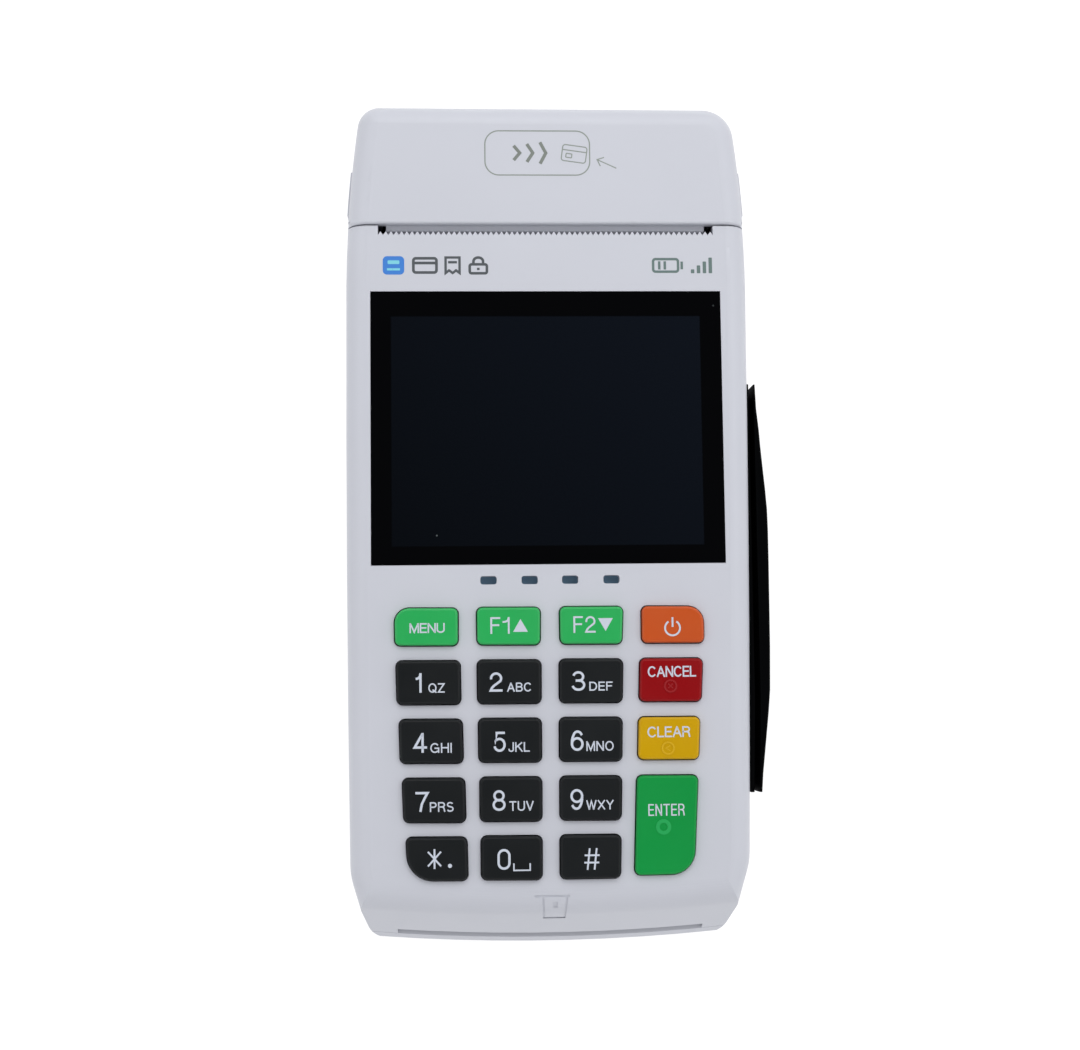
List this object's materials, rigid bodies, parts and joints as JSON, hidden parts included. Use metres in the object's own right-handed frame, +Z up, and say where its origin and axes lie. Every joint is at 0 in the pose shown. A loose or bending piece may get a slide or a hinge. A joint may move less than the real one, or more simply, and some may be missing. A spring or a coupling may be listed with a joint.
{
  "type": "card payment terminal",
  "caption": "Handheld card payment terminal with a printer under a hinged cover, display, colour-coded keypad, front card slot and side swipe rail.",
  "frame": {"origin": "centre of the overall box on the resting plane, the underside of the four feet; the keypad centre line is at x = -2.04 mm because the swipe rail stands out on the right", "axes": "+X to the right of the keypad, +Y from the keypad end to the printer end, +Z up, the terminal lying on its back"},
  "size_m": [0.079, 0.1573, 0.0477],
  "materials": {
    "white_plastic": "fine moulded satin",
    "lens_black": "gloss",
    "lcd_glass": "gloss",
    "steel_sheet": "rolled",
    "light_guide": "smoked",
    "silicone_grey": "matt",
    "dome_steel": "bright",
    "circuit_board": "solder resist",
    "black_plastic": "satin",
    "gold_contact": "bright",
    "grey_plastic": "satin",
    "spring_steel": "drawn",
    "head_aluminium": "milled",
    "gear_white": "acetal",
    "rubber_dark": "matt",
    "battery_wrap": "shrink film",
    "platen_rubber": "ground",
    "antenna_board": "film",
    "key_black": "satin",
    "key_green": "satin",
    "key_orange": "satin",
    "key_red": "satin",
    "key_yellow": "satin"
  },
  "bodies": {
    "root": {"upper_housing": "white_plastic", "lower_housing": "white_plastic", "display_lens": "lens_black", "lcd_panel": "lcd_glass", "lcd_backlight_tray": "steel_sheet", "led_light_guides": "light_guide", "keypad_membrane": "silicone_grey", "key_snap_domes": "dome_steel", "main_board": "circuit_board", "io_board": "circuit_board", "board_shield": "steel_sheet", "board_chips": "black_plastic", "backup_coin_cell": "dome_steel", "chip_card_reader": "black_plastic", "chip_card_contacts": "gold_contact", "swipe_track": "black_plastic", "swipe_rail": "black_plastic", "printer_frame": "grey_plastic", "paper_trough": "grey_plastic", "print_head_springs": "spring_steel", "printer_motor": "steel_sheet", "idler_axle": "spring_steel", "hinge_pin": "spring_steel", "speaker": "black_plastic", "usb_port": "dome_steel", "housing_screws": "spring_steel", "rubber_feet": "rubber_dark", "sam_card_sockets": "dome_steel", "paper_sensor": "black_plastic", "battery_pack": "battery_wrap"},
    "cover": {"printer_cover": "white_plastic", "contactless_antenna": "antenna_board"},
    "platen": {"platen_roller": "platen_rubber", "platen_shaft": "spring_steel", "platen_gear": "gear_white"},
    "idler": {"idler_gear": "gear_white"},
    "pinion": {"motor_pinion": "gear_white"},
    "head": {"thermal_head": "head_aluminium"},
    "swipe_read_head": {"swipe_head": "dome_steel"},
    "door": {"battery_door": "white_plastic"},
    "key_menu": {"key_menu": "key_green"},
    "key_f1": {"key_f1": "key_green"},
    "key_f2": {"key_f2": "key_green"},
    "key_power": {"key_power": "key_orange"},
    "key_1": {"key_1": "key_black"},
    "key_2": {"key_2": "key_black"},
    "key_3": {"key_3": "key_black"},
    "key_cancel": {"key_cancel": "key_red"},
    "key_4": {"key_4": "key_black"},
    "key_5": {"key_5": "key_black"},
    "key_6": {"key_6": "key_black"},
    "key_clear": {"key_clear": "key_yellow"},
    "key_7": {"key_7": "key_black"},
    "key_8": {"key_8": "key_black"},
    "key_9": {"key_9": "key_black"},
    "key_enter": {"key_enter": "key_green"},
    "key_star": {"key_star": "key_black"},
    "key_0": {"key_0": "key_black"},
    "key_hash": {"key_hash": "key_black"}
  },
  "joints": [
    {"name": "cover_hinge", "type": "hinge", "parent": "root", "child": "cover", "pos_m": [-0.00204, 0.0758, 0.024], "axis": [-1, 0, 0], "range_deg": [0, 85]},
    {"name": "platen_spin", "type": "hinge", "parent": "cover", "child": "platen", "pos_m": [-0.00204, 0.05716, 0.03638], "axis": [1, 0, 0], "continuous": true},
    {"name": "idler_spin", "type": "hinge", "parent": "root", "child": "idler", "pos_m": [0.03096, 0.04969, 0.02513], "axis": [1, 0, 0], "continuous": true},
    {"name": "motor_spin", "type": "hinge", "parent": "root", "child": "pinion", "pos_m": [0.03096, 0.03682, 0.0233], "axis": [1, 0, 0], "continuous": true},
    {"name": "head_lift", "type": "slide", "parent": "root", "child": "head", "axis": [0, -0.9925, -0.1219], "range_m": [0, 0.0008], "stiffness_N_per_m": 2000, "springref_m": -0.001, "deforming": ["print_head_springs"]},
    {"name": "swipe_head_press", "type": "slide", "parent": "root", "child": "swipe_read_head", "axis": [-1, 0, 0], "range_m": [0, 0.0005], "stiffness_N_per_m": 300, "springref_m": -0.0005},
    {"name": "battery_door_pull", "type": "slide", "parent": "root", "child": "door", "axis": [0, 0, -1], "range_m": [0, 0.012]},
    {"name": "press_menu", "type": "slide", "parent": "root", "child": "key_menu", "axis": [0, 0.1219, -0.9925], "range_m": [0, 0.0008], "stiffness_N_per_m": 900, "springref_m": -0.0003},
    {"name": "press_f1", "type": "slide", "parent": "root", "child": "key_f1", "axis": [0, 0.1219, -0.9925], "range_m": [0, 0.0008], "stiffness_N_per_m": 900, "springref_m": -0.0003},
    {"name": "press_f2", "type": "slide", "parent": "root", "child": "key_f2", "axis": [0, 0.1219, -0.9925], "range_m": [0, 0.0008], "stiffness_N_per_m": 900, "springref_m": -0.0003},
    {"name": "press_power", "type": "slide", "parent": "root", "child": "key_power", "axis": [0, 0.1219, -0.9925], "range_m": [0, 0.0008], "stiffness_N_per_m": 900, "springref_m": -0.0003},
    {"name": "press_1", "type": "slide", "parent": "root", "child": "key_1", "axis": [0, 0.1219, -0.9925], "range_m": [0, 0.0008], "stiffness_N_per_m": 900, "springref_m": -0.0003},
    {"name": "press_2", "type": "slide", "parent": "root", "child": "key_2", "axis": [0, 0.1219, -0.9925], "range_m": [0, 0.0008], "stiffness_N_per_m": 900, "springref_m": -0.0003},
    {"name": "press_3", "type": "slide", "parent": "root", "child": "key_3", "axis": [0, 0.1219, -0.9925], "range_m": [0, 0.0008], "stiffness_N_per_m": 900, "springref_m": -0.0003},
    {"name": "press_cancel", "type": "slide", "parent": "root", "child": "key_cancel", "axis": [0, 0.1219, -0.9925], "range_m": [0, 0.0008], "stiffness_N_per_m": 900, "springref_m": -0.0003},
    {"name": "press_4", "type": "slide", "parent": "root", "child": "key_4", "axis": [0, 0.1219, -0.9925], "range_m": [0, 0.0008], "stiffness_N_per_m": 900, "springref_m": -0.0003},
    {"name": "press_5", "type": "slide", "parent": "root", "child": "key_5", "axis": [0, 0.1219, -0.9925], "range_m": [0, 0.0008], "stiffness_N_per_m": 900, "springref_m": -0.0003},
    {"name": "press_6", "type": "slide", "parent": "root", "child": "key_6", "axis": [0, 0.1219, -0.9925], "range_m": [0, 0.0008], "stiffness_N_per_m": 900, "springref_m": -0.0003},
    {"name": "press_clear", "type": "slide", "parent": "root", "child": "key_clear", "axis": [0, 0.1219, -0.9925], "range_m": [0, 0.0008], "stiffness_N_per_m": 900, "springref_m": -0.0003},
    {"name": "press_7", "type": "slide", "parent": "root", "child": "key_7", "axis": [0, 0.1219, -0.9925], "range_m": [0, 0.0008], "stiffness_N_per_m": 900, "springref_m": -0.0003},
    {"name": "press_8", "type": "slide", "parent": "root", "child": "key_8", "axis": [0, 0.1219, -0.9925], "range_m": [0, 0.0008], "stiffness_N_per_m": 900, "springref_m": -0.0003},
    {"name": "press_9", "type": "slide", "parent": "root", "child": "key_9", "axis": [0, 0.1219, -0.9925], "range_m": [0, 0.0008], "stiffness_N_per_m": 900, "springref_m": -0.0003},
    {"name": "press_enter", "type": "slide", "parent": "root", "child": "key_enter", "axis": [0, 0.1219, -0.9925], "range_m": [0, 0.0008], "stiffness_N_per_m": 900, "springref_m": -0.0003},
    {"name": "press_star", "type": "slide", "parent": "root", "child": "key_star", "axis": [0, 0.1219, -0.9925], "range_m": [0, 0.0008], "stiffness_N_per_m": 900, "springref_m": -0.0003},
    {"name": "press_0", "type": "slide", "parent": "root", "child": "key_0", "axis": [0, 0.1219, -0.9925], "range_m": [0, 0.0008], "stiffness_N_per_m": 900, "springref_m": -0.0003},
    {"name": "press_hash", "type": "slide", "parent": "root", "child": "key_hash", "axis": [0, 0.1219, -0.9925], "range_m": [0, 0.0008], "stiffness_N_per_m": 900, "springref_m": -0.0003}
  ],
  "couplings": [
    {"joint": "idler_spin", "follows": "platen_spin", "ratio": -0.35},
    {"joint": "motor_spin", "follows": "platen_spin", "ratio": 1.1667}
  ]
}
